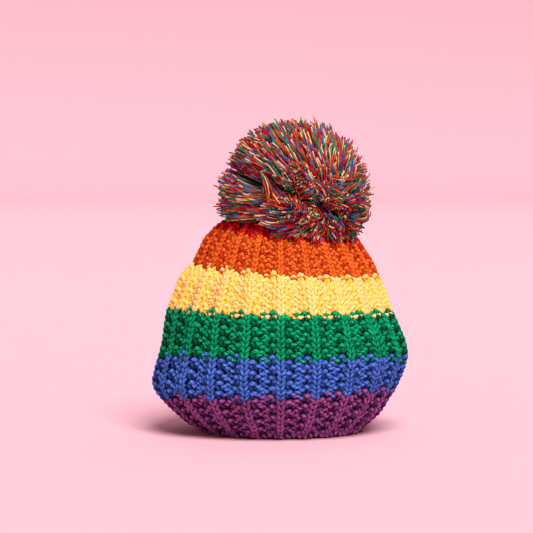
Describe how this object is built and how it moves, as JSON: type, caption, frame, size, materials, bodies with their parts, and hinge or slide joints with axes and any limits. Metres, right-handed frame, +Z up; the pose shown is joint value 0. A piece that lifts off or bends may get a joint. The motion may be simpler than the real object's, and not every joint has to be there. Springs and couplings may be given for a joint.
{
  "type": "tea cosy",
  "caption": "Ribbed knitted cover for a round teapot, open at the hem and slit at the handle and spout sides, drawn together at the top under a yarn pompom.",
  "frame": {"origin": "centre of the footprint, on the surface that the hem rests on", "axes": "+Z up through the pompom, +X towards the spout slit, -X towards the handle slit, -Y towards the front panel"},
  "size_m": [0.1892, 0.1878, 0.2315],
  "materials": {
    "purple_yarn": "soft plied yarn, matt with a slight sheen",
    "blue_yarn": "soft plied yarn, matt with a slight sheen",
    "green_yarn": "soft plied yarn, matt with a slight sheen",
    "yellow_yarn": "soft plied yarn, matt with a slight sheen",
    "orange_yarn": "soft plied yarn, matt with a slight sheen",
    "red_yarn": "soft plied yarn, matt with a slight sheen",
    "cream_yarn": "soft plied yarn, matt with a slight sheen",
    "mixed_yarn": "cut ends of plied yarn in mixed colours"
  },
  "bodies": {
    "root": {"front_panel": "green_yarn", "back_panel": "blue_yarn", "pompom": "mixed_yarn"}
  },
  "joints": []
}
